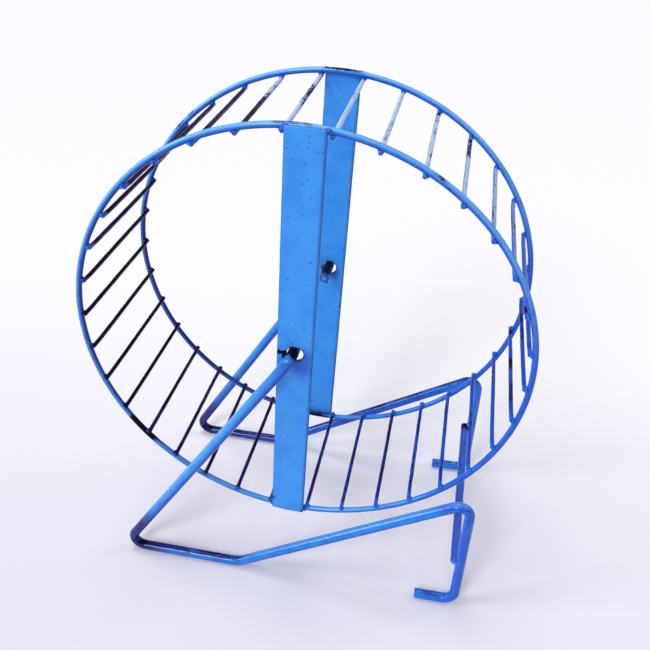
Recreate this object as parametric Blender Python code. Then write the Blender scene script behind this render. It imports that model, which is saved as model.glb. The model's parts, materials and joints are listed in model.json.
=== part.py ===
"""Hamster exercise wheel on a bent-wire stand.

A cage wheel of welded steel wire: two rings joined by thin rungs, with a flat strip
across the outer face of each ring. The strips hang on the bent-in ends of two side
wires, which stand on the floor and are tied together by one cross bar.

Units are metres, +Z is up. The origin is on the floor, straight below the axle.
The axle runs along Y, and -Y is the front. Run with
blender --background --python part.py
"""

import math

import bmesh
import bpy
from mathutils import Matrix, Vector

# Wheel
WHEEL_OUTER_DIAMETER = 0.1400
RING_WIRE = 0.0019
RING_SPACING = 0.0490        # between the centrelines of the two rings
RUNG_WIRE = 0.0014
RUNGS_PER_SIDE = 17          # on each side of the strips
RUNG_OVERHANG = 0.0002       # how far a rung's end stands past the ring's centreline
RUNG_TO_STRIP = 0.0066       # strip centreline to the nearest rung, along the ring
STRIP_WIDTH = 0.0110
STRIP_THICKNESS = 0.0010
STRIP_HOLE = 0.0052
STRIP_OVERLAP = 0.0004       # how far a strip's end stands past the ring's centreline
WHEEL_TURN = math.radians(3.0)   # how far the wheel stands turned, top towards +X

# Stand
STAND_WIRE = 0.0035
AXLE_HEIGHT = 0.0964         # wheel axis above the floor
PIN_RIDE = 0.00055           # the wheel hangs this far below the pins' centreline
PIN_REACH = 0.0088           # pin end past the strip's inner face
HUB_BEND_Y = 0.0303          # corner where the pin turns into the arm
SIDE_Y = 0.0327              # plane of each side wire's floor run and leg
TOE_X = -0.0212              # floor run turns up into the brace
CROSS_BAR_WIRE = 0.0030
CROSS_BAR_FRONT = (0.0557, -0.0331, 0.0228)   # front end, sunk into its leg by the weld
CROSS_BAR_REAR = (0.0560, 0.0325, 0.0254)     # rear end

# The two side wires are bent by hand and differ a little
HEEL_X = {"front": -0.0651, "rear": -0.0606}   # arm meets floor run
KNEE = {"front": (0.0581, 0.0517), "rear": (0.0587, 0.0509)}   # brace meets leg, X and Z
ANKLE_X = {"front": 0.0575, "rear": 0.0584}    # leg meets foot
FOOT_END_X = {"front": 0.0437, "rear": 0.0449}

# Bend radii of the side wire's centreline
HUB_BEND = 0.0032
HEEL_BEND = 0.0040
TOE_BEND = 0.0110
KNEE_BEND = 0.0036
ANKLE_BEND = 0.0045

# Shape of the meshes
GAP = 0.00025                # between welded neighbours, which are separate solids
WIRE_SIDES = 12
RING_STEPS = 96
STRIP_END_STEPS = 6
HOLE_SIDES = 32
BEND_STEP = math.radians(14.0)
SHARP_ANGLE = math.radians(40.0)

# Worked out from the above
RING_RADIUS = (WHEEL_OUTER_DIAMETER - RING_WIRE) / 2
RUNG_RADIUS = RING_RADIUS - (RING_WIRE + RUNG_WIRE) / 2 - GAP
RUNG_LENGTH = RING_SPACING + 2 * RUNG_OVERHANG
STRIP_INNER_Y = (RING_SPACING + RING_WIRE) / 2 + GAP
STRIP_END_RADIUS = RING_RADIUS + STRIP_OVERLAP
FLOOR_Z = STAND_WIRE / 2
PIN_Z = AXLE_HEIGHT + PIN_RIDE

# sRGB colour, roughness and metallic value of each finish
FINISHES = {
    "ring_enamel": ((62, 148, 236), 0.28, 0.0),
    "strip_enamel": ((58, 142, 230), 0.38, 0.0),
    "rung_paint": ((112, 124, 172), 0.42, 0.35),
    "stand_enamel": ((60, 146, 236), 0.26, 0.0),
    "bar_paint": ((98, 116, 178), 0.45, 0.2),
}


def clear_scene():
    """Remove every object of the open scene."""
    for obj in list(bpy.data.objects):
        bpy.data.objects.remove(obj, do_unlink=True)


def linear(channel):
    """Turn one 8-bit sRGB channel into a linear value."""
    value = channel / 255
    return value / 12.92 if value <= 0.04045 else ((value + 0.055) / 1.055) ** 2.4


def make_material(name):
    """Make the Principled BSDF material of one finish."""
    colour, roughness, metallic = FINISHES[name]
    material = bpy.data.materials.new(name)
    material.use_nodes = True
    shader = material.node_tree.nodes["Principled BSDF"]
    shader.inputs["Base Color"].default_value = (*(linear(c) for c in colour), 1.0)
    shader.inputs["Roughness"].default_value = roughness
    shader.inputs["Metallic"].default_value = metallic
    return material


def mesh_from(bm, name, material):
    """Turn a bmesh into a smooth-shaded mesh with sharp end faces."""
    bmesh.ops.recalc_face_normals(bm, faces=bm.faces)
    mesh = bpy.data.meshes.new(name)
    bm.to_mesh(mesh)
    bm.free()
    mesh.materials.append(material)
    mesh.shade_smooth()
    mesh.set_sharp_from_angle(angle=SHARP_ANGLE)
    return mesh


def add_object(name, mesh, parent=None, location=(0, 0, 0), rotation=(0, 0, 0)):
    """Place a mesh in the scene, under a parent if it has one."""
    obj = bpy.data.objects.new(name, mesh)
    bpy.context.scene.collection.objects.link(obj)
    obj.parent = parent
    obj.location = location
    obj.rotation_euler = rotation
    return obj


def rounded_path(corners, bends):
    """Points along straight runs whose inner corners are rounded to the given radii."""
    points = [Vector(corners[0])]
    for before, corner, after, radius in zip(corners, corners[1:], corners[2:], bends):
        corner = Vector(corner)
        into = (corner - Vector(before)).normalized()
        out = (Vector(after) - corner).normalized()
        turn = into.angle(out)
        tangent = radius * math.tan(turn / 2)
        start = corner - into * tangent
        inward = (out - into * into.dot(out)).normalized()
        centre = start + inward * radius
        steps = max(2, math.ceil(turn / BEND_STEP))
        for k in range(steps + 1):
            angle = turn * k / steps
            points.append(centre - inward * radius * math.cos(angle) + into * radius * math.sin(angle))
    points.append(Vector(corners[-1]))
    return points


def path_directions(points):
    """Direction of travel at each point, halfway between the runs that meet there."""
    runs = [(b - a).normalized() for a, b in zip(points, points[1:])]
    return [(before + after).normalized() for before, after in zip(runs[:1] + runs, runs + runs[-1:])]


def carried_normals(directions, last_normal):
    """Section normals carried back from the last point without twist."""
    normals = [last_normal]
    for after, here in zip(reversed(directions), reversed(directions[:-1])):
        turn = after.rotation_difference(here)
        normals.append((turn @ normals[-1]).normalized())
    return normals[::-1]


def bent_wire(name, points, wire, last_normal, material):
    """Sweep a round wire along the points, with a flat facing the normal at the last point.

    The section's flats lie on the wire's radius, so a run on the floor rests on a flat.
    """
    corner_radius = wire / 2 / math.cos(math.pi / WIRE_SIDES)
    directions = path_directions(points)
    bm = bmesh.new()
    loops = []
    for point, along, normal in zip(points, directions, carried_normals(directions, last_normal)):
        across = along.cross(normal)
        loop = []
        for k in range(WIRE_SIDES):
            angle = 2 * math.pi * (k + 0.5) / WIRE_SIDES
            offset = normal * math.cos(angle) + across * math.sin(angle)
            loop.append(bm.verts.new(point + offset * corner_radius))
        loops.append(loop)
    for near, far in zip(loops, loops[1:]):
        for k in range(WIRE_SIDES):
            j = (k + 1) % WIRE_SIDES
            bm.faces.new((near[k], near[j], far[j], far[k]))
    bm.faces.new(loops[0])
    bm.faces.new(loops[-1])
    return mesh_from(bm, name, material)


def straight_wire(name, wire, length, material):
    """A straight round wire along its own Z, centred on its origin."""
    bm = bmesh.new()
    bmesh.ops.create_cone(bm, cap_ends=True, segments=WIRE_SIDES, radius1=wire / 2,
                          radius2=wire / 2, depth=length)
    return mesh_from(bm, name, material)


def ring_mesh(material):
    """A wire hoop about Y: a round section spun a full turn."""
    bm = bmesh.new()
    section = bmesh.ops.create_circle(bm, segments=WIRE_SIDES, radius=RING_WIRE / 2,
                                      matrix=Matrix.Translation((RING_RADIUS, 0, 0)))
    edges = list({edge for vert in section["verts"] for edge in vert.link_edges})
    bmesh.ops.spin(bm, geom=section["verts"] + edges, cent=(0, 0, 0), axis=(0, 1, 0),
                   angle=2 * math.pi, steps=RING_STEPS, use_merge=True)
    return mesh_from(bm, "ring", material)


def strip_mesh(material):
    """A flat bar along Z with its ends cut to the ring's curve and the axle hole through it.

    It fills Y from 0 to its thickness.
    """
    half_angle = math.asin(STRIP_WIDTH / 2 / STRIP_END_RADIUS)
    outline = []
    for middle in (math.pi / 2, -math.pi / 2):
        for k in range(STRIP_END_STEPS + 1):
            angle = middle + half_angle * (2 * k / STRIP_END_STEPS - 1)
            outline.append((STRIP_END_RADIUS * math.cos(angle), STRIP_END_RADIUS * math.sin(angle)))
    hole = []
    for k in range(HOLE_SIDES):
        angle = 2 * math.pi * k / HOLE_SIDES
        hole.append((STRIP_HOLE / 2 * math.cos(angle), STRIP_HOLE / 2 * math.sin(angle)))

    bm = bmesh.new()
    edges = []
    for loop in (outline, hole):
        verts = [bm.verts.new((x, 0, z)) for x, z in loop]
        edges += [bm.edges.new((a, b)) for a, b in zip(verts, verts[1:] + verts[:1])]
    face = bmesh.ops.triangle_fill(bm, edges=edges, use_beauty=True)
    flat = [item for item in face["geom"] if isinstance(item, bmesh.types.BMFace)]
    grown = bmesh.ops.extrude_face_region(bm, geom=flat)
    moved = [item for item in grown["geom"] if isinstance(item, bmesh.types.BMVert)]
    bmesh.ops.translate(bm, verts=moved, vec=(0, STRIP_THICKNESS, 0))
    return mesh_from(bm, "strip", material)


def rung_angles():
    """Angle about the axle of every rung, as (name, radians from +X towards +Z)."""
    margin = RUNG_TO_STRIP / RING_RADIUS
    pitch = (math.pi - 2 * margin) / (RUNGS_PER_SIDE - 1)
    for side, top_angle, sense in (("left", math.pi / 2, 1), ("right", math.pi / 2, -1)):
        for k in range(RUNGS_PER_SIDE):
            yield f"rung_{side}_{k + 1:02d}", top_angle + sense * (margin + k * pitch)


def build_wheel():
    """Rings, strips and rungs, all carried by an empty on the wheel's axis."""
    axle = add_object("wheel_axis", None, location=(0, 0, AXLE_HEIGHT), rotation=(0, WHEEL_TURN, 0))
    ring_finish = make_material("ring_enamel")
    strip_finish = make_material("strip_enamel")
    rung_finish = make_material("rung_paint")
    for name, side in (("front", -1), ("rear", 1)):
        ring = ring_mesh(ring_finish)
        add_object(f"ring_{name}", ring, axle, (0, side * RING_SPACING / 2, 0))
        strip = strip_mesh(strip_finish)
        strip_turn = (0, 0, math.pi if side < 0 else 0)
        add_object(f"strip_{name}", strip, axle, (0, side * STRIP_INNER_Y, 0), strip_turn)
    rung = straight_wire("rung", RUNG_WIRE, RUNG_LENGTH, rung_finish)
    for name, angle in rung_angles():
        place = (RUNG_RADIUS * math.cos(angle), 0, RUNG_RADIUS * math.sin(angle))
        add_object(name, rung, axle, place, (math.pi / 2, 0, 0))


def side_wire_points(end, side):
    """Centreline of one side wire, from the pin's free end to the end of the foot."""
    knee_x, knee_z = KNEE[end]
    pin_end_y = STRIP_INNER_Y - PIN_REACH
    corners = (
        (0, side * pin_end_y, PIN_Z),
        (0, side * HUB_BEND_Y, PIN_Z),
        (HEEL_X[end], side * SIDE_Y, FLOOR_Z),
        (TOE_X, side * SIDE_Y, FLOOR_Z),
        (knee_x, side * SIDE_Y, knee_z),
        (ANKLE_X[end], side * SIDE_Y, FLOOR_Z),
        (FOOT_END_X[end], side * SIDE_Y, FLOOR_Z),
    )
    return rounded_path(corners, (HUB_BEND, HEEL_BEND, TOE_BEND, KNEE_BEND, ANKLE_BEND))


def build_side_wire(end, side, finish):
    """One bent side wire, with a flat of its section facing the floor."""
    name = f"side_wire_{end}"
    points = side_wire_points(end, side)
    add_object(name, bent_wire(name, points, STAND_WIRE, Vector((0, 0, 1)), finish))


def add_straight(name, wire, start, finish, material):
    """A straight round wire from one point to another."""
    along = finish - start
    mesh = straight_wire(name, wire, along.length, material)
    return add_object(name, mesh, None, (start + finish) / 2, along.to_track_quat("Z", "Y").to_euler())


def build_cross_bar():
    """The bar across both legs, notched where the welds sink it into them."""
    material = make_material("bar_paint")
    bar = add_straight("cross_bar", CROSS_BAR_WIRE, Vector(CROSS_BAR_FRONT), Vector(CROSS_BAR_REAR), material)
    notch_wire = 2 * (STAND_WIRE / 2 / math.cos(math.pi / WIRE_SIDES) + GAP) / math.cos(math.pi / WIRE_SIDES)
    for end, side in (("front", -1), ("rear", 1)):
        ankle = Vector((ANKLE_X[end], side * SIDE_Y, FLOOR_Z))
        knee = Vector((KNEE[end][0], side * SIDE_Y, KNEE[end][1]))
        cutter = add_straight(f"notch_{end}", notch_wire, ankle, knee, material)
        cutter.hide_render = True
        cutter.display_type = "WIRE"
        cut = bar.modifiers.new(cutter.name, "BOOLEAN")
        cut.operation = "DIFFERENCE"
        cut.solver = "EXACT"
        cut.object = cutter


def build_stand():
    """Both side wires and the cross bar."""
    finish = make_material("stand_enamel")
    build_side_wire("front", -1, finish)
    build_side_wire("rear", 1, finish)
    build_cross_bar()


clear_scene()
build_wheel()
build_stand()
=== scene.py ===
"""Looks of the hamster exercise wheel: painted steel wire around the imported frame.

Every visible piece is built here in mesh code, a finer copy of one frame node, and
rides on that node's body. Units are metres, +Z is up and -Y is the front.
"""

import json
import math

import bmesh
import bpy
from mathutils import Matrix, Vector, noise


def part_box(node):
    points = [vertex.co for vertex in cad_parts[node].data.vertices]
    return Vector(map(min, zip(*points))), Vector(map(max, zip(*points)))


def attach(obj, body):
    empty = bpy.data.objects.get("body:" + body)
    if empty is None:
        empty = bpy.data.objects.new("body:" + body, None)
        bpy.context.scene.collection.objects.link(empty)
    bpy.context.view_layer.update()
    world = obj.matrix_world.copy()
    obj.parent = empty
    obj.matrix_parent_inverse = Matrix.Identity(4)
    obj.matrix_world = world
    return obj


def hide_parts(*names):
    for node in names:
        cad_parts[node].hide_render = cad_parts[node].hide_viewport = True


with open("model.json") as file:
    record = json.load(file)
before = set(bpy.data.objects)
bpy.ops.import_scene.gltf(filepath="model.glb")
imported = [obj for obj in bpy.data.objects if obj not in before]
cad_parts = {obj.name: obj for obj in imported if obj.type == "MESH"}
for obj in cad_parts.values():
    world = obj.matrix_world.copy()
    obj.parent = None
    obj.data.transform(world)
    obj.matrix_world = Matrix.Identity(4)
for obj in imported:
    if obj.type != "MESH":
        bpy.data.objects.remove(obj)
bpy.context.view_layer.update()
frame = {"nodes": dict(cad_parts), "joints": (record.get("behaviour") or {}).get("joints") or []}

# Camera
CAMERA_LENS = 40.4
CAMERA_SENSOR = 36.0
CAMERA_AZIMUTH = math.radians(11.0)
CAMERA_ELEVATION = math.radians(34.8)
CAMERA_ROLL = math.radians(0.72)
CAMERA_PLACE = (0.0418, -0.1951, 0.2276)

# The frame's bodies
WHEEL = "wheel"
STAND = "stand"

# Read from the frame
AXLE = Vector(frame["joints"][0]["pos_m"])
RING_LOW, RING_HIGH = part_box("ring_front")
RING_WIRE = RING_HIGH.y - RING_LOW.y
RING_RADIUS = (RING_HIGH.x - RING_LOW.x - RING_WIRE) / 2
RUNG_LOW, RUNG_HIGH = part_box("rung_left_01")
RUNG_WIRE = RUNG_HIGH.x - RUNG_LOW.x
RUNG_LENGTH = RUNG_HIGH.y - RUNG_LOW.y

# The same driving dimensions as the frame's
STRIP_WIDTH = 0.0110
STRIP_HOLE = 0.0052
STRIP_OVERLAP = 0.0004       # how far a strip's end stands past the ring's centreline
STRIP_END_RADIUS = RING_RADIUS + STRIP_OVERLAP
WHEEL_TURN = math.radians(3.0)   # how far the wheel stands turned, top towards +X
STAND_WIRE = 0.0035
CROSS_BAR_WIRE = 0.0030
PIN_RIDE = 0.00055           # the wheel hangs this far below the pins' centreline
PIN_END_Y = 0.0169
HUB_BEND_Y = 0.0303          # corner where the pin turns into the arm
SIDE_Y = 0.0327              # plane of each side wire's floor run and leg
TOE_X = -0.0212              # floor run turns up into the brace
HEEL_X = {"front": -0.0651, "rear": -0.0606}   # arm meets floor run
KNEE = {"front": (0.0581, 0.0517), "rear": (0.0587, 0.0509)}   # brace meets leg, X and Z
ANKLE_X = {"front": 0.0575, "rear": 0.0584}    # leg meets foot
FOOT_END_X = {"front": 0.0437, "rear": 0.0449}
BENDS = (0.0032, 0.0040, 0.0110, 0.0036, 0.0045)   # hub, heel, toe, knee, ankle
BAR_FRONT = Vector((0.0557, -0.0331, 0.0228))
BAR_REAR = Vector((0.0560, 0.0325, 0.0254))

# Small shifts of the visible pieces from the frame's
PIN_X = {"front": -0.0004, "rear": 0.0}        # where the pin lies in its loose hole
RUNG_SINK = 0.0004           # how far the welds press a rung outward, into its rings

# Directions of the painted shade and the painted highlight, in the wheel as it stands
PAINTED_LIGHT_FROM = Vector((-0.25, -0.20, 0.95)).normalized()   # painted light comes from here; the far side of each wire gets painted shade
HIGHLIGHT_FACING = Vector((-0.12, -0.50, 0.86)).normalized()     # the painted highlight faces here

# Small unevenness: scales of noise per metre, and how far it moves a surface in metres
RIPPLES = 260                # on every wire's surface
RUNG_WAVES = 22              # along a rung's centreline
RUNG_SWAY = 0.00022
RUNG_RISE = 0.00018
STRIP_WAVE = 0.00010
STRIP_EDGE_WAVE = 0.00005

# Edges and ends
STRIP_EDGE = 0.00014         # bevel round the strips' faces
END_INSET = 0.0003           # how far a stand wire's sweep starts inside the end, for its rounding
TIP_ANGLES = (30, 60, 80)    # degrees round the edge of a wire's end
TIP_DOME = 0.05              # rise of an end's middle, as a share of its edge's rounding

# Half sizes of the weld lumps: on the rings along them, along Y and away from the axle, and at
# the cross bar along X, Y and Z
RUNG_WELD = (0.00098, 0.00105, 0.00062)
STRIP_WELD = (0.0011, 0.00055, 0.00085)
BAR_WELD = (0.0009, 0.0015, 0.0006)
BAR_WELD_RISE = 0.0013       # from the bar's middle up or down to each lump
RUN_PLACE = (0.0006, 0.0002, -0.0005)              # of the run of paint, from the bar's front end
RUN_AXES = ((0.0021, 0, -0.0003), (0, 0.0009, 0), (0, 0, 0.0011))

# Fineness of the meshes
WIRE_STEP = 0.0006
RING_STEPS = 600
STAND_SIDES = 28
RING_SIDES = 22
RUNG_SIDES = 16
RUNG_PARTS = 60
BEND_STEP = math.radians(3.0)
STRIP_COLUMNS = 22
HOLE_LOOPS = 6
BEAD_SUBDIVISIONS = 3

# Colours, sRGB
ENAMEL = (34, 142, 232)
# Deeper blue: painted shade on rings and stand wires, and deeper tone at random
ENAMEL_DEEP_AND_SHADE = (10, 86, 208)
# Navy of thin paint, specks and pits, also used for painted shade
ENAMEL_THIN_AND_SHADE = (12, 22, 112)
# Pale blue of the painted highlight
ENAMEL_HIGHLIGHT = (128, 196, 248)
STRIP_BLUE = (58, 158, 245)
STRIP_DEEP = (43, 144, 240)
# Deep blue of the arm's painted shadow beside each axle hole
STRIP_SHADE = (14, 70, 196)
# Pale paint, lightened as a painted highlight on the upper outer side
RUNG_PALE_HIGHLIGHT = (192, 216, 248)
RUNG_BLUE = (34, 82, 196)
RUNG_END = (20, 104, 216)
RUNG_THIN = (26, 16, 92)
BAR_VIOLET = (64, 100, 208)
BARE_STEEL = (16, 9, 36)
RUNG_STEEL = (20, 11, 62)
STEEL_SHINE = 0.80           # how metallic the burnt steel looks
# Floor colour near and far; the greyer near colour is painted shade
FLOOR_NEAR = (232, 231, 242)
FLOOR_FAR = (252, 252, 255)

# How the bare mask is broken up, and its levels between which paint thins out and is gone
STREAK_SHARE = 0.6           # the rest is spots
WEAR_CONTRAST = 2.6
ENAMEL_THINS, ENAMEL_GONE = (0.15, 0.66), (0.60, 0.68)
STRIP_THINS, STRIP_GONE = (0.20, 0.64), (0.60, 0.66)
RUNG_THINS, RUNG_GONE = (0.12, 0.40), (0.62, 0.76)

# Stage
FLOOR_HALF = 12.0            # half the floor's side
SURROUND = (0.95, 0.93, 1.0, 1.0)
SURROUND_STRENGTH = 0.33
# Each sun's name, the direction it shines from, its strength and its width in degrees
LAMPS = (
    ("front_window", (-0.28, -0.73, 0.62), 1.2, 20),
    ("left_window", (-0.81, -0.26, 0.46), 0.9, 18),
    ("overhead", (-0.10, 0.15, 1.0), 0.85, 22),
    ("back_window", (0.70, 0.35, 0.60), 0.35, 20),
)


def linear(colour):
    """An 8-bit sRGB colour as linear RGBA."""
    values = []
    for channel in colour:
        value = channel / 255
        values.append(value / 12.92 if value <= 0.04045 else ((value + 0.055) / 1.055) ** 2.4)
    return (*values, 1.0)


# ---------------------------------------------------------------- materials
#
# The materials read these attributes of the meshes, shares from 0 to about 1: how "bare" the
# metal is; how "darkened" the paint, by thinner paint and by painted shade; how "deep" its blue,
# which is painted shade on rings and stand wires and a painted shadow on the strips; and
# "painted_highlight", a painted highlight. On rungs "pale" is pale paint with a painted
# highlight on the upper outer side, and "end" the blue paint of the ends. "wire_space" is a
# place along and across a wire, or on the piece itself, in metres.


class Shader:
    """A material's node tree, with short ways to add nodes and feed their inputs."""

    def __init__(self, name):
        self.material = bpy.data.materials.new(name)
        self.material.use_nodes = True
        self.tree = self.material.node_tree
        self.surface = self.tree.nodes["Principled BSDF"]

    def feed(self, socket, value):
        """Link a node's output to the socket, or set it to a number or colour."""
        if isinstance(value, bpy.types.NodeSocket):
            self.tree.links.new(value, socket)
        else:
            socket.default_value = value

    def add(self, kind, inputs, **settings):
        """Add a node, set its options and feed its inputs."""
        node = self.tree.nodes.new("ShaderNode" + kind)
        for key, value in settings.items():
            setattr(node, key, value)
        for key, value in inputs.items():
            self.feed(node.inputs[key], value)
        return node

    def attribute(self, name, output="Vector"):
        return self.add("Attribute", {}, attribute_name=name).outputs[output]

    def noise(self, vector, scale, detail=3.0, roughness=0.55):
        inputs = {"Vector": vector, "Scale": scale, "Detail": detail, "Roughness": roughness}
        return self.add("TexNoise", inputs).outputs["Fac"]

    def stretched(self, vector, scale):
        """The vector scaled by a different number along each axis."""
        return self.add("VectorMath", {0: vector, 1: scale}, operation="MULTIPLY").outputs[0]

    def maths(self, operation, a, b=0.0, c=0.0):
        return self.add("Math", {0: a, 1: b, 2: c}, operation=operation).outputs[0]

    def band(self, value, low, high, to_low=0.0, to_high=1.0):
        """Rises smoothly from to_low to to_high as the value goes from low to high."""
        inputs = {"Value": value, "From Min": low, "From Max": high}
        inputs.update({"To Min": to_low, "To Max": to_high})
        return self.add("MapRange", inputs, interpolation_type="SMOOTHSTEP").outputs["Result"]

    def mix(self, share, a, b):
        """Colour a where share is 0 and b where it is 1."""
        node = self.add("Mix", {0: share, 6: a, 7: b}, data_type="RGBA")
        return node.outputs[2]

    def dots(self, vector, scale, size, kept):
        """Small round dots, in the given share of the cells."""
        cells = self.add("TexVoronoi", {"Vector": vector, "Scale": scale})
        near = self.band(cells.outputs["Distance"], size * 0.6, size, 1.0, 0.0)
        chosen = self.add("SeparateColor", {"Color": cells.outputs["Color"]}).outputs[0]
        return self.maths("MULTIPLY", near, self.maths("LESS_THAN", chosen, kept))

    def bump(self, height, distance, strength=1.0, under=None):
        inputs = {"Height": height, "Distance": distance, "Strength": strength}
        if under is not None:
            inputs["Normal"] = under
        return self.add("Bump", inputs).outputs["Normal"]

    def finish(self, colour, roughness, metallic, normal, gloss):
        self.feed(self.surface.inputs["Base Color"], colour)
        self.feed(self.surface.inputs["Roughness"], roughness)
        self.feed(self.surface.inputs["Metallic"], metallic)
        self.feed(self.surface.inputs["Normal"], normal)
        self.surface.inputs["Specular IOR Level"].default_value = gloss
        return self.material


def bare_mask(shader, place, streak, spot_scale):
    """How far the paint is off: the mesh's bare amount, broken up by streaks and spots."""
    bare = shader.attribute("bare", "Fac")
    streaks = shader.noise(shader.stretched(place, streak), 1.0, detail=4.0, roughness=0.65)
    spots = shader.noise(place, spot_scale, detail=3.0, roughness=0.6)
    streaks = shader.maths("MULTIPLY", streaks, STREAK_SHARE)
    grain = shader.maths("ADD", streaks, shader.maths("MULTIPLY", spots, 1 - STREAK_SHARE))
    patches = shader.maths("MULTIPLY", shader.maths("SUBTRACT", grain, 0.5), WEAR_CONTRAST)
    return shader.maths("ADD", bare, patches)


def enamel(name, colour, deep, roughness, gloss):
    """Glossy enamel over wire, thinly painted and dark in places, with bare burnt spots, painted shade
    and a painted highlight.
    """
    shader = Shader(name)
    place = shader.attribute("wire_space")
    level = bare_mask(shader, place, streak=(90.0, 700.0, 700.0), spot_scale=900.0)
    bare = shader.band(level, *ENAMEL_GONE)
    hollow = shader.maths("ADD", shader.attribute("darkened", "Fac"), shader.band(level, *ENAMEL_THINS))
    darkened = shader.maths("MINIMUM", hollow, 1.15)
    clouds = shader.noise(place, 220.0, detail=2.0)
    clouds = shader.band(clouds, 0.35, 0.75, to_low=-0.15, to_high=0.25)
    # Deeper blue: painted shade from the mesh, plus deeper tone at random
    depth = shader.maths("ADD", shader.attribute("deep", "Fac"), clouds)
    depth = shader.maths("MINIMUM", shader.maths("MAXIMUM", depth, 0.0), 1.0)
    paint = shader.mix(depth, linear(colour), linear(deep))
    # Painted highlight
    paint = shader.mix(shader.attribute("painted_highlight", "Fac"), paint, linear(ENAMEL_HIGHLIGHT))
    # Thin dark paint, also standing for painted shade
    paint = shader.mix(shader.maths("MULTIPLY", darkened, 0.85), paint, linear(ENAMEL_THIN_AND_SHADE))
    specks = shader.dots(place, 700.0, size=0.22, kept=0.10)
    paint = shader.mix(shader.maths("MULTIPLY", specks, 0.6), paint, linear(ENAMEL_THIN_AND_SHADE))
    final = shader.mix(bare, paint, linear(BARE_STEEL))
    mottle = shader.maths("ADD", shader.noise(place, 500.0, detail=2.0), -0.5)
    rough = shader.maths("MULTIPLY_ADD", mottle, 0.16, roughness)
    rough = shader.maths("MULTIPLY_ADD", bare, 0.30, rough)
    peel = shader.bump(shader.noise(place, 420.0, detail=2.0), distance=0.00008, strength=0.35)
    edge = shader.bump(bare, distance=-0.00006, under=peel)
    return shader.finish(final, rough, shader.maths("MULTIPLY", bare, STEEL_SHINE), edge, gloss)


def rung_paint(name):
    """Thin pale paint over dark steel, rubbed off in long streaks, with a painted highlight on each
    rung's upper outer side.
    """
    shader = Shader(name)
    place = shader.attribute("wire_space")
    level = bare_mask(shader, place, streak=(110.0, 1500.0, 1500.0), spot_scale=1100.0)
    bare = shader.band(level, *RUNG_GONE)
    darkened = shader.band(level, *RUNG_THINS)
    # Pale paint, with a painted highlight, on each rung's upper outer side
    paint = shader.mix(shader.attribute("pale", "Fac"), linear(RUNG_BLUE), linear(RUNG_PALE_HIGHLIGHT))
    paint = shader.mix(darkened, paint, linear(RUNG_THIN))
    paint = shader.mix(shader.attribute("end", "Fac"), paint, linear(RUNG_END))
    specks = shader.dots(place, 1100.0, size=0.26, kept=0.12)
    paint = shader.mix(shader.maths("MULTIPLY", specks, 0.7), paint, linear(RUNG_STEEL))
    final = shader.mix(bare, paint, linear(RUNG_STEEL))
    rough = shader.maths("MULTIPLY_ADD", shader.noise(place, 900.0, detail=2.0), 0.25, 0.15)
    peel = shader.bump(shader.noise(place, 1500.0), distance=0.00005, strength=0.5)
    edge = shader.bump(bare, distance=-0.00005, under=peel)
    metallic = shader.maths("MULTIPLY", bare, STEEL_SHINE)
    return shader.finish(final, rough, metallic, edge, gloss=0.16)


def strip_enamel(name):
    """Satin enamel on flat bar: fine pits, dark specks and bare chipped places, with painted shade at
    the edges and a painted shadow beside the hole.
    """
    shader = Shader(name)
    place = shader.attribute("wire_space")
    level = bare_mask(shader, place, streak=(900.0, 900.0, 900.0), spot_scale=1500.0)
    bare = shader.band(level, *STRIP_GONE)
    hollow = shader.maths("ADD", shader.attribute("darkened", "Fac"), shader.band(level, *STRIP_THINS))
    darkened = shader.maths("MINIMUM", hollow, 1.0)
    clouds = shader.noise(place, 110.0, detail=4.0, roughness=0.65)
    paint = shader.mix(shader.band(clouds, 0.35, 0.70), linear(STRIP_BLUE), linear(STRIP_DEEP))
    # Painted shadow of the arm beside the axle hole
    paint = shader.mix(shader.attribute("deep", "Fac"), paint, linear(STRIP_SHADE))
    # Thinner paint at the edges, partly painted shade
    paint = shader.mix(shader.maths("MULTIPLY", darkened, 0.7), paint, linear(ENAMEL_THIN_AND_SHADE))
    small = shader.dots(place, 900.0, size=0.26, kept=0.16)
    large = shader.dots(place, 330.0, size=0.16, kept=0.06)
    pits = shader.maths("MAXIMUM", small, large)
    paint = shader.mix(shader.maths("MULTIPLY", pits, 0.55), paint, linear(ENAMEL_THIN_AND_SHADE))
    final = shader.mix(bare, paint, linear(BARE_STEEL))
    rough = shader.maths("MULTIPLY_ADD", shader.noise(place, 1200.0, detail=2.0), 0.2, 0.28)
    rough = shader.maths("MULTIPLY_ADD", shader.maths("MAXIMUM", bare, darkened), 0.25, rough)
    peel = shader.bump(shader.noise(place, 1400.0, roughness=0.6), distance=0.00006, strength=0.55)
    pitted = shader.bump(pits, distance=-0.00010, under=peel)
    edge = shader.bump(bare, distance=-0.00008, under=pitted)
    metallic = shader.maths("MULTIPLY", bare, STEEL_SHINE)
    return shader.finish(final, rough, metallic, edge, gloss=0.4)


def floor_material():
    """Plain pale matt floor, a touch greyer towards the front as painted shade."""
    shader = Shader("floor_matt")
    place = shader.add("TexCoord", {}).outputs["Object"]
    depth = shader.add("SeparateXYZ", {"Vector": place}).outputs["Y"]
    # Painted shade: greyer towards the front
    colour = shader.mix(shader.band(depth, -0.12, 0.16), linear(FLOOR_NEAR), linear(FLOOR_FAR))
    grain = shader.bump(shader.noise(place, 900.0, detail=2.0), distance=0.00005, strength=0.3)
    return shader.finish(colour, roughness=0.75, metallic=0.0, normal=grain, gloss=0.2)


# ---------------------------------------------------------------- meshes


def add_piece(name, mesh, body, node):
    """Put a mesh in the scene as the visible stand-in for one or more frame nodes."""
    obj = bpy.data.objects.new(name, mesh)
    bpy.context.scene.collection.objects.link(obj)
    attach(obj, body)
    if node:
        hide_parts(node)
    return obj


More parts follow.
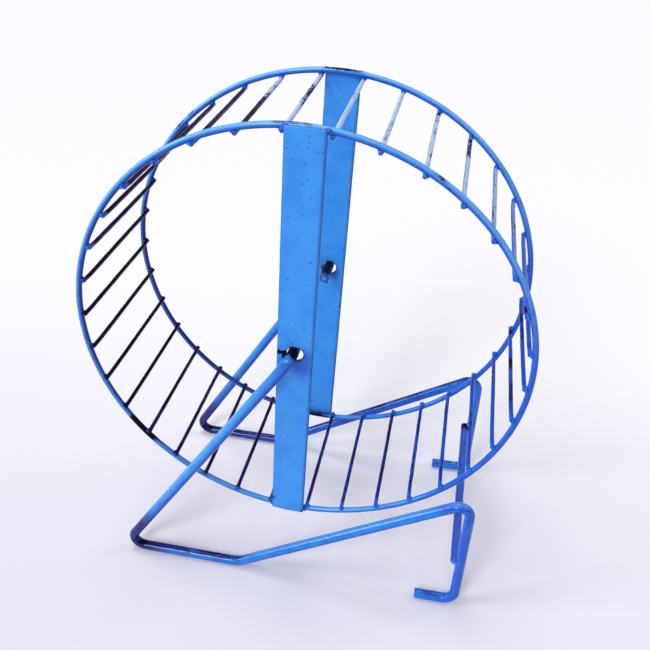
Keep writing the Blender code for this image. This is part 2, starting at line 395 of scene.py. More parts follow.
def store(mesh, name, kind, values):
    """Keep one value for each vertex as an attribute that the material reads."""
    attribute = mesh.attributes.new(name, kind, "POINT")
    if kind == "FLOAT":
        attribute.data.foreach_set("value", values)
    else:
        attribute.data.foreach_set("vector", [x for value in values for x in value])


def evenly(points, step):
    """Points a step apart along the same line, ends kept."""
    lengths = [0.0]
    for a, b in zip(points, points[1:]):
        lengths.append(lengths[-1] + (b - a).length)
    count = max(2, round(lengths[-1] / step))
    found, k = [], 0
    for i in range(count + 1):
        target = lengths[-1] * i / count
        while k < len(points) - 2 and lengths[k + 1] < target:
            k += 1
        share = (target - lengths[k]) / (lengths[k + 1] - lengths[k])
        found.append(points[k].lerp(points[k + 1], min(1.0, share)))
    return found


def rounded_path(corners, bends):
    """Points along straight runs whose inner corners are rounded to the given radii."""
    points = [Vector(corners[0])]
    for before, corner, after, radius in zip(corners, corners[1:], corners[2:], bends):
        corner = Vector(corner)
        into = (corner - Vector(before)).normalized()
        out = (Vector(after) - corner).normalized()
        turn = into.angle(out)
        start = corner - into * radius * math.tan(turn / 2)
        inward = (out - into * into.dot(out)).normalized()
        centre = start + inward * radius
        steps = max(2, math.ceil(turn / BEND_STEP))
        for k in range(steps + 1):
            angle = turn * k / steps
            points.append(centre - inward * radius * math.cos(angle) + into * radius * math.sin(angle))
    points.append(Vector(corners[-1]))
    return points


def sweep(name, points, wire, sides, layers, closed=False, normal=None, uneven=0.03,
          end_round=0.0003, seed=0.0):
    """A round wire along the points, its surface slightly uneven under the paint.

    Its ends are cut square with a rounded edge. layers maps the name of an attribute to a
    function of a point, the outward direction there, the distance along and the length.
    """
    count = len(points)
    if closed:
        steps = [(points[(i + 1) % count] - points[i - 1]).normalized() for i in range(count)]
    else:
        after = [*points[1:], points[-1]]
        before = [points[0], *points[:-1]]
        steps = [(b - a).normalized() for a, b in zip(before, after)]
    along, length = [0.0], 0.0
    for a, b in zip(points, points[1:]):
        length += (b - a).length
        along.append(length)
    normal = normal or steps[0].orthogonal()
    frames = []
    for i, step in enumerate(steps):
        normal = (normal - step * normal.dot(step)).normalized()
        frames.append((points[i], step, normal, along[i], 1.0))
    if not closed:
        starts, ends = [], []
        for angle in TIP_ANGLES:
            angle = math.radians(angle)
            size = 1 - 2 * end_round / wire * (1 - math.cos(angle))
            for tips, tip, sense in ((starts, frames[0], -1), (ends, frames[-1], 1)):
                point, step, normal, here, _ = tip
                place = point + step * sense * end_round * math.sin(angle)
                tips.append((place, step, normal, here, size))
        frames = starts[::-1] + frames + ends

    verts, faces, wire_space, sites = [], [], [], []
    for point, step, normal, here, size in frames:
        across = step.cross(normal)
        for k in range(sides):
            angle = 2 * math.pi * k / sides
            out = normal * math.cos(angle) + across * math.sin(angle)
            if closed:
                ripple = noise.noise(point * RIPPLES + out * 0.8 + Vector((seed, 0, 0)))
            else:
                ripple = noise.noise(Vector((here * RIPPLES + seed, out.dot(normal), out.dot(across))))
            radius = wire / 2 * size * min(1.0, 1 - uneven / 2 + uneven * ripple)
            verts.append(point + out * radius)
            wire_space.append((here + seed, math.cos(angle) * radius, math.sin(angle) * radius))
            sites.append((point, out, here, length))
    loops = len(frames)
    for i in range(loops if closed else loops - 1):
        a, b = i * sides, (i + 1) % loops * sides
        for k in range(sides):
            j = (k + 1) % sides
            faces.append((a + k, a + j, b + j, b + k))
    if not closed:
        for base, tip, sense in ((0, frames[0], -1), ((loops - 1) * sides, frames[-1], 1)):
            point, step, normal, here, _ = tip
            out = step * sense
            middle = len(verts)
            verts.append(point + out * end_round * TIP_DOME)
            wire_space.append((here + seed, 0.0, 0.0))
            sites.append((point, out, here, length))
            for k in range(sides):
                rim = (base + k, base + (k + 1) % sides)
                faces.append((*rim[::sense], middle))
    mesh = bpy.data.meshes.new(name)
    mesh.from_pydata(verts, [], faces)
    mesh.shade_smooth()
    store(mesh, "wire_space", "FLOAT_VECTOR", wire_space)
    for layer, amount in layers.items():
        store(mesh, layer, "FLOAT", [amount(*site) for site in sites])
    return mesh


def smoothstep(value, low, high):
    share = min(1.0, max(0.0, (value - low) / (high - low)))
    return share * share * (3 - 2 * share)


def wheel_angle(point):
    """Degrees about the axle from +X towards +Z, in the wheel as it stands."""
    return math.degrees(math.atan2(point.z - AXLE.z, point.x - AXLE.x)) % 360


def near_angle(point, angle, spread):
    """1 at an angle about the axle, falling to 0 a spread away, both in degrees."""
    off = abs((wheel_angle(point) - angle + 180) % 360 - 180)
    return 1 - smoothstep(off, spread * 0.5, spread)


def shaded(out, low, high):
    """1 on the side of a wire facing away from the painted light, its under side: painted shade."""
    return smoothstep(-out.dot(PAINTED_LIGHT_FROM), low, high)


def from_axle(angle, radius, y):
    return Vector((AXLE.x + radius * math.cos(angle), y, AXLE.z + radius * math.sin(angle)))


def lower_left(angle):
    """1 in the wheel's burnt lower left as it stands, 0 away from it, at an angle in degrees."""
    return smoothstep(angle, 150, 178) * (1 - smoothstep(angle, 255, 275))


# Bare or burnt stretches of each ring: angle, spread in degrees, strength, and whether all
# round the wire or on its outer side only
RING_WEAR = {
    "front": ((217.5, 6.5, 0.95, True), (58.0, 1.8, 0.45, False), (90.0, 6.0, 0.40, False),
              (268.0, 5.0, 0.30, False)),
    "rear": ((136.0, 2.5, 0.60, False), (131.0, 2.0, 0.50, False), (87.0, 6.5, 0.60, False),
             (267.0, 6.5, 0.50, True)),
}
# How thin the paint is all round each ring, at the lower left of the wheel
RING_LEFT_THIN = {"front": 0.0, "rear": 0.62}
# How strong each ring's painted highlight is: pairs of angle about the axle in degrees and strength
RING_PALE = {
    "front": ((0, 0.0), (15, 0.15), (30, 0.50), (80, 0.60), (95, 0.85), (145, 0.80), (160, 0.40),
              (175, 0.15), (200, 0.20), (225, 0.40), (290, 0.42), (312, 0.0), (360, 0.0)),
    "rear": ((0, 0.0), (20, 0.20), (35, 0.38), (50, 0.75), (80, 0.80), (90, 0.90), (140, 0.85),
             (155, 0.30), (175, 0.10), (285, 0.10), (330, 0.0), (360, 0.0)),
}


def share_at(table, angle):
    """The table's strength at an angle, straight between its entries."""
    for (a, low), (b, high) in zip(table, table[1:]):
        if a <= angle <= b:
            return low + (high - low) * (angle - a) / (b - a)
    return 0.0


def build_ring(end, finish):
    """One hoop of the wheel: thinner paint at the lower left, painted shade on its inner and under
    sides and at the lower right, and a painted highlight along its upper front side.
    """
    low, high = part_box(f"ring_{end}")
    y = (low.y + high.y) / 2
    points = [from_axle(2 * math.pi * k / RING_STEPS, RING_RADIUS, y) for k in range(RING_STEPS)]

    def outer_side(point, out):
        return out.dot(Vector((point.x - AXLE.x, 0, point.z - AXLE.z)).normalized())

    def bare(point, out, along, length):
        amount = 0.06
        for angle, spread, strength, all_round in RING_WEAR[end]:
            side = 1.0 if all_round else smoothstep(outer_side(point, out), 0.1, 0.7)
            amount += strength * near_angle(point, angle, spread) * side
        return amount

    def darkened(point, out, along, length):
        # Thinner paint at the rear hoop's lower left; painted shade on the inner side at the left and
        # on the under side
        left = smoothstep(AXLE.x - point.x, -0.2 * RING_RADIUS, 0.75 * RING_RADIUS)
        inner = smoothstep(-outer_side(point, out), 0.25, 0.90)
        angle = wheel_angle(point)
        inner *= 0.90 - 0.45 * smoothstep(angle, 215, 240)
        return RING_LEFT_THIN[end] * lower_left(angle) + left * inner + 0.45 * shaded(out, -0.10, 0.60)

    def deep(point, out, along, length):
        # Painted shade: deeper blue at the lower right and on the under side
        right = smoothstep(point.x - AXLE.x, 0.2 * RING_RADIUS, 0.9 * RING_RADIUS)
        low_right = right * smoothstep(AXLE.z - point.z, -0.6 * RING_RADIUS, 0.3 * RING_RADIUS)
        return 0.05 + 0.75 * low_right + 1.05 * shaded(out, -0.60, 0.20)

    def painted_highlight(point, out, along, length):
        # A painted highlight along the wire's upper front side, its strength listed by angle
        tangent = Vector((AXLE.z - point.z, 0, point.x - AXLE.x)).normalized()
        side = (HIGHLIGHT_FACING - tangent * tangent.dot(HIGHLIGHT_FACING)).normalized()
        return share_at(RING_PALE[end], wheel_angle(point)) * smoothstep(out.dot(side), 0.66, 0.99)

    mesh = sweep(f"ring_{end}_painted", points, RING_WIRE, RING_SIDES,
                 {"bare": bare, "darkened": darkened, "deep": deep, "painted_highlight": painted_highlight}, closed=True,
                 normal=Vector((1, 0, 0)), seed=3.0 if end == "front" else 7.0)
    mesh.materials.append(finish)
    add_piece(mesh.name, mesh, WHEEL, f"ring_{end}")


# Rungs whose wear changes along them: extra wear at the front end and at the rear end, and
# local worn places as (share of the length from the front, spread, strength)
RUNG_CHIPS = {
    "rung_left_01": (-0.03, 0.08, ((0.60, 0.24, 0.24),)),
    "rung_left_02": (0.95, -0.48, ()),
    "rung_left_12": (-0.06, -0.06, ()),
    "rung_left_13": (-0.16, -0.16, ()),
    "rung_right_03": (0.0, 0.0, ((0.94, 0.04, 0.42),)),
    "rung_right_04": (0.0, 0.0, ((0.78, 0.17, 0.46), (0.92, 0.05, 0.35))),
    "rung_right_07": (0.0, 0.0, ((0.06, 0.05, 0.6),)),
    "rung_right_08": (0.0, 0.0, ((0.55, 0.05, 0.5),)),
    "rung_right_09": (0.0, 0.0, ((0.75, 0.08, 0.4),)),
    "rung_right_10": (0.0, 0.0, ((0.94, 0.05, 0.6), (0.56, 0.07, 0.8), (0.25, 0.2, 0.15))),
    "rung_right_14": (-0.12, -0.12, ()),
}


def rung_wear(angle):
    """How worn a rung is at an angle about the axle: bare at left, dull below, sound at right."""
    left = smoothstep(-math.cos(math.radians(angle)), 0.10, 0.36)
    far_left = smoothstep(-math.cos(math.radians(angle)), 0.60, 0.85)
    under = smoothstep(-math.sin(math.radians(angle)), 0.55, 0.95)
    return max((0.58 + 0.27 * far_left) * left, 0.34 * under)


def rung_names():
    return sorted(name for name in frame["nodes"] if name.startswith("rung_"))


def build_rung(name, finish, index):
    """One rung: a straight thin wire, pressed onto both rings at its ends."""
    low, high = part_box(name)
    centre = (low + high) / 2
    angle = wheel_angle(centre)
    outward = Vector((centre.x - AXLE.x, 0, centre.z - AXLE.z)).normalized()
    sideways = outward.cross(Vector((0, 1, 0)))
    half = RUNG_LENGTH / 2
    points = []
    for k in range(RUNG_PARTS + 1):
        point = centre + Vector((0, half * (2 * k / RUNG_PARTS - 1), 0))
        share = abs(point.y - centre.y) / half
        press = RUNG_SINK * (0.7 + 0.3 * smoothstep(share, 0.80, 0.98))
        free = 1 - share ** 4
        sway = noise.noise(Vector((index * 7.3, point.y * RUNG_WAVES, 0.0))) * RUNG_SWAY * free
        rise = noise.noise(Vector((index * 5.1, point.y * RUNG_WAVES, 9.0))) * RUNG_RISE * free
        points.append(point + outward * (press + rise) + sideways * sway)
    wear = rung_wear(angle)
    front_wear, rear_wear, chips = RUNG_CHIPS.get(name, (0.0, 0.0, ()))
    sound = 1 - lower_left(angle)

    def bare(point, out, along, length):
        drift = noise.noise(Vector((along * 90, index * 3.7, 1.0)))
        share = along / length
        amount = 0.06 + wear + 0.22 * drift + front_wear * (1 - share) + rear_wear * share
        for place, spread, strength in chips:
            amount += strength * (1 - smoothstep(abs(share - place), spread * 0.4, spread))
        return amount * (1 - sound * (1 - smoothstep(along, 0.0006, 0.0022)))

    def pale(point, out, along, length):
        # Pale paint and a painted highlight on the rung's upper outer side
        above = smoothstep(outward.z, 0.10, 1.02)
        return above * smoothstep(out.dot(outward), -0.5, 0.5)

    def end_paint(point, out, along, length):
        return sound * (1 - smoothstep(min(along, length - along), 0.0009, 0.0030))

    mesh = sweep(f"{name}_painted", evenly(points, WIRE_STEP), RUNG_WIRE, RUNG_SIDES,
                 {"bare": bare, "pale": pale, "end": end_paint}, normal=outward, uneven=0.09,
                 end_round=0.00018, seed=index * 0.37)
    mesh.materials.append(finish)
    add_piece(mesh.name, mesh, WHEEL, name)


def strip_rows(x):
    """Heights above the axle of one column of the strip's grid, past the hole's square."""
    half = STRIP_WIDTH / 2
    end = math.sqrt(STRIP_END_RADIUS ** 2 - x * x)
    rows = round((STRIP_END_RADIUS - half) / (STRIP_WIDTH / STRIP_COLUMNS))
    return [half + (end - half) * k / rows for k in range(1, rows + 1)]


def build_strip(end, finish):
    """The slightly wavy flat bar across one ring, its edges and its axle hole's lip rounded."""
    low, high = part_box(f"strip_{end}")
    thickness = high.y - low.y
    half, cell = STRIP_WIDTH / 2, STRIP_WIDTH / STRIP_COLUMNS
    bm = bmesh.new()
    grid = {}

    def flat_vert(x, z):
        key = (round(x, 7), round(z, 7))
        if key not in grid:
            grid[key] = bm.verts.new((x, 0.0, z))
        return grid[key]

    columns = [-half + cell * k for k in range(STRIP_COLUMNS + 1)]
    for a, b in zip(columns, columns[1:]):
        for sense in (1, -1):
            left = [half * sense] + [sense * z for z in strip_rows(a)]
            right = [half * sense] + [sense * z for z in strip_rows(b)]
            for k in range(len(left) - 1):
                corners = ((a, left[k]), (b, right[k]), (b, right[k + 1]), (a, left[k + 1]))
                bm.faces.new([flat_vert(x, z) for x, z in corners[::sense]])
    edge = [-half + cell * k for k in range(STRIP_COLUMNS)]
    square = [(x, -half) for x in edge] + [(half, z) for z in edge]
    square += [(-x, half) for x in edge] + [(-half, -z) for z in edge]
    loops = []
    for k in range(HOLE_LOOPS + 1):
        share = (k / HOLE_LOOPS) ** 1.5
        loop = []
        for x, z in square:
            reach = math.hypot(x, z)
            scale = (STRIP_HOLE / 2 + (reach - STRIP_HOLE / 2) * share) / reach
            loop.append(flat_vert(x * scale, z * scale))
        loops.append(loop)
    for inner, outer in zip(loops, loops[1:]):
        for k in range(len(inner)):
            j = (k + 1) % len(inner)
            bm.faces.new((inner[k], inner[j], outer[j], outer[k]))
    bmesh.ops.recalc_face_normals(bm, faces=bm.faces)
    flat = list(bm.faces)
    grown = bmesh.ops.extrude_face_region(bm, geom=flat)
    moved = [item for item in grown["geom"] if isinstance(item, bmesh.types.BMVert)]
    bmesh.ops.translate(bm, verts=moved, vec=(0, thickness, 0))
    bmesh.ops.recalc_face_normals(bm, faces=bm.faces)
    rims = [e for e in bm.edges if e.calc_face_angle(0.0) > math.radians(60)]
    bmesh.ops.bevel(bm, geom=rims, offset=STRIP_EDGE, offset_type="OFFSET", segments=2,
                    profile=0.5, affect="EDGES", clamp_overlap=True)
    seed = 1.0 if end == "front" else 5.0
    local = []
    for vert in bm.verts:
        x, y, z = vert.co
        local.append((x + seed, y, z))
        wave = noise.noise(Vector((x * 30, seed, z * 38))) * STRIP_WAVE
        fade = 1 - smoothstep(abs(z), RING_RADIUS - 0.012, RING_RADIUS - 0.002)
        edge_wave = noise.noise(Vector((math.copysign(9.0, x), seed, z * 160))) * STRIP_EDGE_WAVE
        vert.co = (x + edge_wave * smoothstep(abs(x), half * 0.6, half), y + wave * fade, z)
    turn = Matrix.Rotation(WHEEL_TURN, 4, "Y")
    bm.transform(Matrix.Translation((AXLE.x, low.y, AXLE.z)) @ turn)
    mesh = bpy.data.meshes.new(f"strip_{end}_painted")
    bm.to_mesh(mesh)
    bm.free()
    mesh.shade_smooth()
    mesh.set_sharp_from_angle(angle=math.radians(50))
    store(mesh, "wire_space", "FLOAT_VECTOR", local)
    store(mesh, "bare", "FLOAT", [strip_wear(end, x - seed, z) for x, y, z in local])
    # Thinner paint and painted shade at the edges, and the arm's painted shadow beside the hole
    store(mesh, "darkened", "FLOAT", [edge_thin_and_shade(x - seed) for x, y, z in local])
    store(mesh, "deep", "FLOAT", [hub_shade(end, x - seed, z) for x, y, z in local])
    mesh.materials.append(finish)
    add_piece(mesh.name, mesh, WHEEL, f"strip_{end}")


def edge_thin_and_shade(x):
    """How thinly painted and shaded a strip is near its edges: thinner paint, partly painted shade, on
    both narrow sides, and painted shade beside the right one.
    """
    inside = STRIP_WIDTH / 2 - abs(x)
    side = 1 - smoothstep(inside, 0.00004, 0.00018)
    beside = 1 - smoothstep(inside, 0.0002, 0.0009)
    return max(side, 0.8 * beside if x > 0 else 0.0)


# Chipped places of each strip: x, z, radius and strength
STRIP_CHIPS = {
    "front": ((-0.0033, -0.0002, 0.0013, 1.0), (-0.0049, 0.0, 0.0012, 1.0),
              (-0.0034, -0.0016, 0.0009, 0.9), (-0.0050, -0.0640, 0.0012, 0.5),
              (0.0052, -0.0690, 0.0010, 0.6)),
    "rear": ((-0.0004, -0.0065, 0.0006, 1.0), (0.0030, -0.0120, 0.0007, 0.5),
             (0.0, 0.0700, 0.0011, 0.8), (-0.0030, 0.0699, 0.0010, 0.8),
             (0.0035, 0.0699, 0.0010, 0.8), (0.0052, -0.0160, 0.0009, 0.5)),
}


def strip_wear(end, x, z):
    """Share of bare metal on a strip at a place measured from the hole's centre."""
    rim = 1 - smoothstep(math.hypot(x, z), STRIP_HOLE / 2, STRIP_HOLE / 2 + 0.0008)
    amount = 0.04 + 0.45 * rim
    for at_x, at_z, radius, strength in STRIP_CHIPS[end]:
        amount += strength * (1 - smoothstep(math.hypot(x - at_x, z - at_z), radius * 0.4, radius))
    return amount


# Painted shadow of the arm beside each axle hole: x and z from the hole's centre, half width and half
# height
HUB_SHADE = {"front": (0.0022, -0.0030, 0.0044, 0.0078), "rear": (0.0020, -0.0016, 0.0030, 0.0040)}


def hub_shade(end, x, z):
    """Share of the arm's painted shadow on a strip at a place measured from the hole's centre."""
    at_x, at_z, wide, high = HUB_SHADE[end]
    return 0.75 * (1 - smoothstep(math.hypot((x - at_x) / wide, (z - at_z) / high), 0.35, 1.0))


def add_bead(bm, layer, place, axes, seed, burnt=0.0):
    """A lump of weld metal: a ball stretched to the three axes and made lumpy."""
    made = bmesh.ops.create_icosphere(bm, subdivisions=BEAD_SUBDIVISIONS, radius=1.0)
    for vert in made["verts"]:
        unit = vert.co.copy()
        swell = 1 + 0.22 * noise.noise(unit * 1.6 + Vector((seed, 0, 0)))
        vert.co = place + (axes[0] * unit.x + axes[1] * unit.y + axes[2] * unit.z) * swell
        vert[layer] = 0.15 + 0.35 * max(0.0, noise.noise(Vector((seed * 1.7, 3.0, 0.0)))) + burnt


def finish_beads(bm, name, body, finish, darkened=0.15, deep=0.55):
    """Turn the lumps into one smooth piece."""
    mesh = bpy.data.meshes.new(name)
    bm.to_mesh(mesh)
    bm.free()
    mesh.shade_smooth()
    store(mesh, "wire_space", "FLOAT_VECTOR", [v.co[:] for v in mesh.vertices])
    for layer, amount in (("darkened", darkened), ("deep", deep)):
        store(mesh, layer, "FLOAT", [amount] * len(mesh.vertices))
    mesh.materials.append(finish)
    add_piece(name, mesh, body, None)


def build_rung_welds(end, finish):
    """The small painted lumps where every rung crosses one ring."""
    low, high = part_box(f"ring_{end}")
    y = (low.y + high.y) / 2
    bm = bmesh.new()
    layer = bm.verts.layers.float.new("bare")
    for index, name in enumerate(rung_names()):
        lowest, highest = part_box(name)
        centre = (lowest + highest) / 2
        angle = math.radians(wheel_angle(centre))
        outward = Vector((math.cos(angle), 0, math.sin(angle)))
        tangent = Vector((-outward.z, 0, outward.x))
        seed = index * 2.1 + (0.0 if end == "front" else 50.0)
        size = 1 + 0.25 * noise.noise(Vector((seed, 8.0, 0.0)))
        place = from_axle(angle, RING_RADIUS - RING_WIRE * 0.52, y)
        long, deep, tall = (size * half for half in RUNG_WELD)
        axes = (tangent * long, Vector((0, deep, 0)), outward * tall)
        add_bead(bm, layer, place, axes, seed, 0.4 * lower_left(math.degrees(angle)))
    finish_beads(bm, f"rung_welds_{end}", WHEEL, finish)


def build_strip_welds(end, finish):
    """Weld metal between a ring and its strip, at both edges of both strip ends."""
    low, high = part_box(f"ring_{end}")
    y = (low.y + high.y) / 2
    side = -1 if end == "front" else 1
    bm = bmesh.new()
    layer = bm.verts.layers.float.new("bare")
    half_angle = math.asin(STRIP_WIDTH / 2 / RING_RADIUS)
    for k, middle in enumerate((math.pi / 2, -math.pi / 2)):
        for j, offset in enumerate((-half_angle, half_angle)):
            angle = middle - WHEEL_TURN + offset
            outward = Vector((math.cos(angle), 0, math.sin(angle)))
            tangent = Vector((-outward.z, 0, outward.x))
            place = from_axle(angle, RING_RADIUS, y + side * RING_WIRE * 0.45)
            long, deep, tall = STRIP_WELD
            axes = (tangent * long, Vector((0, deep, 0)), outward * tall)
            add_bead(bm, layer, place, axes, 20.0 + 4 * k + 2 * j + side)
    finish_beads(bm, f"strip_welds_{end}", WHEEL, finish)


def side_wire_corners(end):
    """Corners of one side wire's centreline, from the pin's free end to the end of the foot."""
    side = -1 if end == "front" else 1
    floor_z = STAND_WIRE / 2
    pin_z = AXLE.z + PIN_RIDE
    knee_x, knee_z = KNEE[end]
    return (
        (PIN_X[end], side * PIN_END_Y, pin_z),
        (PIN_X[end], side * HUB_BEND_Y, pin_z),
        (HEEL_X[end], side * SIDE_Y, floor_z),
        (TOE_X, side * SIDE_Y, floor_z),
        (knee_x, side * SIDE_Y, knee_z),
        (ANKLE_X[end], side * SIDE_Y, floor_z),
        (FOOT_END_X[end], side * SIDE_Y, floor_z),
    )


# Where the looks of a side wire change, as the start and the end of each change in metres.
# Along it from the pin's free end:
TIP_BARE = (0.0004, 0.0012)
TIP_DEEP = (0.0020, 0.0040)
# The pin's stretch inside the wheel, darkened by dark paint and bare steel as a painted shadow:
PIN_IN_SHADOW = (0.0040, 0.0060)
RUB_STARTS = (0.0050, 0.0062)
RUB_ENDS = (0.0110, 0.0130)
SHOULDER_STARTS = (0.0120, 0.0135)
SHOULDER_ENDS = (0.0155, 0.0185)
ARM_STARTS = (0.0165, 0.0200)
# Away from the heel's corner: its bare patch, which deepens the painted shadow there, and how far
# the heel's painted shadow and its faint tail reach, a different way on the floor and up the arm,
# fading over the last of it:
HEEL_BARE = (0.0046, 0.0110)
HEEL_SHADOW_TAIL = (0.010, 0.042)
HEEL_SHADOW_FLOOR = 0.020
HEEL_SHADOW_ARM = 0.028
HEEL_SHADOW_FADE = 0.014
# Along X:
FOOT_SIDE = (0.0, 0.03)
LEG_SIDE = (0.040, 0.056)
LEG_BACK = (0.040, 0.054)


def build_side_wire(end, finish):
    """One bent side wire of the stand, dull and scuffed low down and sound on the arm, with painted
    shade below and on its far side, a painted shadow at the heel and on the pin, and a painted
    highlight on top.
    """
    points = evenly(rounded_path(side_wire_corners(end), BENDS), WIRE_STEP)
    points[0] = points[0] + (points[1] - points[0]).normalized() * END_INSET
    points[-1] = points[-1] + (points[-2] - points[-1]).normalized() * END_INSET
    rear = end == "rear"

    def on_floor(point):
        return 1 - smoothstep(point.z, STAND_WIRE * 0.6, STAND_WIRE * 1.6)

    def pin_face(out, along):
        return smoothstep(abs(out.y), 0.80, 0.95) * (1 - smoothstep(along, 0.0001, 0.0002))

    def on_arm(point):
        return smoothstep(point.z, 0.008, 0.045) * (1 - smoothstep(point.x, TOE_X, 0.0))

    def on_brace(point):
        return smoothstep(point.z, 0.004, 0.010) * smoothstep(point.x, TOE_X, TOE_X + 0.01)

    def heel_distance(point):
        return math.hypot(point.x - HEEL_X[end], point.z)

    def bare(point, out, along, length):
        foot = smoothstep(point.x, *FOOT_SIDE)
        rubbed = smoothstep(along, *RUB_STARTS) * (1 - smoothstep(along, *RUB_ENDS))
        # Bare steel on the pin inside the wheel and at the heel deepens their painted shadow
        pin = 1 - smoothstep(along, *PIN_IN_SHADOW)
        heel = 1 - smoothstep(heel_distance(point), *HEEL_BARE)
        amount = 0.07 + (0.44 - 0.30 * foot) * on_floor(point) * smoothstep(out.z, 0.55, 0.95)
        amount += 0.95 * rubbed + 0.55 * pin + 0.55 * heel
        if rear:
            amount += 0.38 * on_brace(point) * smoothstep(out.z, 0.45, 0.9)
        return amount * smoothstep(along, *TIP_BARE)

    def darkened(point, out, along, length):
        low = on_floor(point)
        from_heel = heel_distance(point)
        # Painted shadow at the heel, reaching up the arm and along the floor
        reach = HEEL_SHADOW_ARM + (HEEL_SHADOW_FLOOR - HEEL_SHADOW_ARM) * low
        heel = 1.10 * (1 - smoothstep(from_heel, reach - HEEL_SHADOW_FADE, reach))
        heel += 0.20 * (1 - smoothstep(from_heel, *HEEL_SHADOW_TAIL))
        # Painted shadow on the pin's stretch inside the wheel
        pin = 1 - smoothstep(along, *PIN_IN_SHADOW)
        shoulder = smoothstep(along, *SHOULDER_STARTS) * (1 - smoothstep(along, *SHOULDER_ENDS))
        # Painted shade on the side facing down and to the right
        away = smoothstep(out.x * 0.7 - out.z * 0.7, 0.0, 0.9)
        if rear:
            away *= 1 - smoothstep(point.x, *LEG_BACK)
        foot = smoothstep(point.x, *FOOT_SIDE)
        amount = 0.25 * away + heel + (0.45 - 0.30 * foot) * low * smoothstep(out.z, 0.68, 0.96)
        amount += 0.30 * shoulder
        if rear:
            amount += 0.55 * low * (1 - foot)
            amount += (0.15 + 0.30 * smoothstep(out.z, 0.45, 0.9)) * on_brace(point)
        return (0.90 * pin + amount * (1 - pin)) * (1 - pin_face(out, along))

    def deep(point, out, along, length):
        # Painted shade: deeper blue low down, on the legs and on the side facing down and to the right
        leg = smoothstep(point.x, *LEG_SIDE)
        arm = on_arm(point)
        amount = 0.30 * (1 - arm) + 0.50 * leg + 0.05
        if rear:
            amount += 0.10 + 0.45 * (1 - arm) - 1.05 * leg
        amount += 0.95 * (1 - 0.85 * leg) * smoothstep(out.x * 0.5 - out.z * 0.85, -0.20, 0.60)
        return amount * smoothstep(along, *TIP_DEEP)

    def painted_highlight(point, out, along, length):
        # Painted highlight on top of the wire and on the pin's end face
        arm = on_arm(point)
        above = 0.30 * (1 - arm) * smoothstep(out.z, 0.45, 0.95) * (1 - on_floor(point))
        above += (0.20 if rear else 0.42) * arm * smoothstep(out.z, -0.10, 0.70)
        return above * smoothstep(along, *ARM_STARTS) + 0.40 * pin_face(out, along)

    mesh = sweep(f"side_wire_{end}_painted", points, STAND_WIRE, STAND_SIDES,
                 {"bare": bare, "darkened": darkened, "deep": deep, "painted_highlight": painted_highlight},
                 normal=Vector((0, 0, 1)), uneven=0.025, seed=11.0 if end == "front" else 17.0)
    mesh.materials.append(finish)
    add_piece(mesh.name, mesh, STAND, f"side_wire_{end}")


def build_cross_bar(finish):
    """The bar welded across both legs, burnt at its rear end."""
    points = evenly([BAR_FRONT, BAR_REAR], WIRE_STEP)
    inset = (BAR_REAR - BAR_FRONT).normalized() * END_INSET
    points[0] += inset
    points[-1] -= inset

    def bare(point, out, along, length):
        burnt = 1 - smoothstep(length - along, 0.0012, 0.0050)
        scorched = smoothstep(along, 0.0008, 0.0016) * (1 - smoothstep(along, 0.0030, 0.0060))
        return 0.16 + 0.80 * burnt + 0.60 * scorched * max(0.0, out.x)

    def darkened(point, out, along, length):
        return 0.45 * smoothstep(-out.x, 0.10, 0.80) + 0.25 * smoothstep(out.x, 0.75, 0.98)

    def deep(point, out, along, length):
        return 0.3

    mesh = sweep("cross_bar_painted", points, CROSS_BAR_WIRE, STAND_SIDES,
                 {"bare": bare, "darkened": darkened, "deep": deep}, normal=Vector((0, 0, 1)), uneven=0.04,
                 end_round=0.00035, seed=23.0)
    mesh.materials.append(finish)
    add_piece(mesh.name, mesh, STAND, "cross_bar")


def leg_x(end, height):
    """Where a leg's centreline is at a height."""
    floor_z = STAND_WIRE / 2
    share = (height - floor_z) / (KNEE[end][1] - floor_z)
    return ANKLE_X[end] + share * (KNEE[end][0] - ANKLE_X[end])


def build_bar_welds(finish):
    """Weld lumps between the cross bar and both legs, with paint run over the front one."""
    bm = bmesh.new()
    layer = bm.verts.layers.float.new("bare")
    for k, (end, tip, toward) in enumerate((("front", BAR_FRONT, 1), ("rear", BAR_REAR, -1))):
        middle_x = (tip.x + leg_x(end, tip.z)) / 2
        for j, offset in enumerate((-BAR_WELD_RISE, BAR_WELD_RISE)):
            place = Vector((middle_x + 0.0002, tip.y + toward * 0.0008, tip.z + offset))
            axes = Matrix.Diagonal(BAR_WELD)
            add_bead(bm, layer, place, axes, 70.0 + 3 * k + j)
    axes = [Vector(axis) for axis in RUN_AXES]
    add_bead(bm, layer, BAR_FRONT + Vector(RUN_PLACE), axes, 91.0)
    finish_beads(bm, "bar_welds", STAND, finish, darkened=0.0, deep=0.1)


# ---------------------------------------------------------------- stage


def make_camera():
    """The scene's camera."""
    azimuth, elevation = CAMERA_AZIMUTH, CAMERA_ELEVATION
    back = Vector((math.sin(azimuth) * math.cos(elevation), -math.cos(azimuth) * math.cos(elevation),
                   math.sin(elevation)))
    right = Vector((0, 0, 1)).cross(back).normalized()
    up = back.cross(right)
    turned_right = right * math.cos(CAMERA_ROLL) + up * math.sin(CAMERA_ROLL)
    turned_up = up * math.cos(CAMERA_ROLL) - right * math.sin(CAMERA_ROLL)
    data = bpy.data.cameras.new("camera")
    data.lens = CAMERA_LENS
    data.sensor_width = CAMERA_SENSOR
    data.clip_start = 0.01
    data.clip_end = 20
    camera = bpy.data.objects.new("camera", data)
    bpy.context.scene.collection.objects.link(camera)
    turn = Matrix((turned_right, turned_up, back)).transposed().to_4x4()
    camera.matrix_world = Matrix.Translation(CAMERA_PLACE) @ turn
    bpy.context.scene.camera = camera


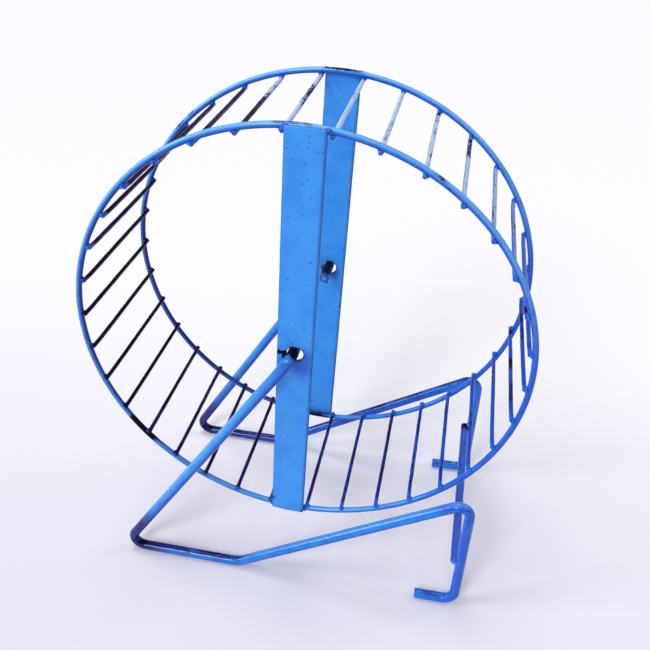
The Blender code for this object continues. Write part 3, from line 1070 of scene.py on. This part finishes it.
def make_floor():
    """A wide flat floor at z = 0."""
    mesh = bpy.data.meshes.new("floor")
    corners = [(x * FLOOR_HALF, y * FLOOR_HALF, 0) for x, y in ((-1, -1), (1, -1), (1, 1), (-1, 1))]
    mesh.from_pydata(corners, [], [(0, 1, 2, 3)])
    mesh.materials.append(floor_material())
    floor = bpy.data.objects.new("floor", mesh)
    bpy.context.scene.collection.objects.link(floor)


def make_light():
    """Soft studio light: a pale surround and four wide suns."""
    world = bpy.data.worlds.new("surround")
    bpy.context.scene.world = world
    world.use_nodes = True
    sky = world.node_tree.nodes["Background"]
    sky.inputs["Color"].default_value = SURROUND
    sky.inputs["Strength"].default_value = SURROUND_STRENGTH
    for name, place, strength, width in LAMPS:
        data = bpy.data.lights.new(name, "SUN")
        data.energy = strength
        data.angle = math.radians(width)
        light = bpy.data.objects.new(name, data)
        bpy.context.scene.collection.objects.link(light)
        light.location = place
        light.rotation_euler = (-Vector(place)).to_track_quat("-Z", "Y").to_euler()
    bpy.context.scene.view_settings.view_transform = "Standard"


def build_wheel():
    """Rings, strips, rungs and their welds."""
    ring_finish = enamel("ring_enamel_worn", ENAMEL, ENAMEL_DEEP_AND_SHADE, roughness=0.20, gloss=0.38)
    strip_finish = strip_enamel("strip_enamel_worn")
    rung_finish = rung_paint("rung_paint_worn")
    for end in ("front", "rear"):
        build_ring(end, ring_finish)
        build_strip(end, strip_finish)
        build_rung_welds(end, ring_finish)
        build_strip_welds(end, ring_finish)
    for index, name in enumerate(rung_names()):
        build_rung(name, rung_finish, index)


def build_stand():
    """Side wires, cross bar and its welds."""
    stand_finish = enamel("stand_enamel_worn", ENAMEL, ENAMEL_DEEP_AND_SHADE, roughness=0.16, gloss=0.38)
    bar_finish = enamel("bar_paint_worn", BAR_VIOLET, RUNG_BLUE, roughness=0.32, gloss=0.35)
    for end in ("front", "rear"):
        build_side_wire(end, stand_finish)
    build_cross_bar(bar_finish)
    build_bar_welds(stand_finish)


make_camera()
make_floor()
make_light()
build_wheel()
build_stand()
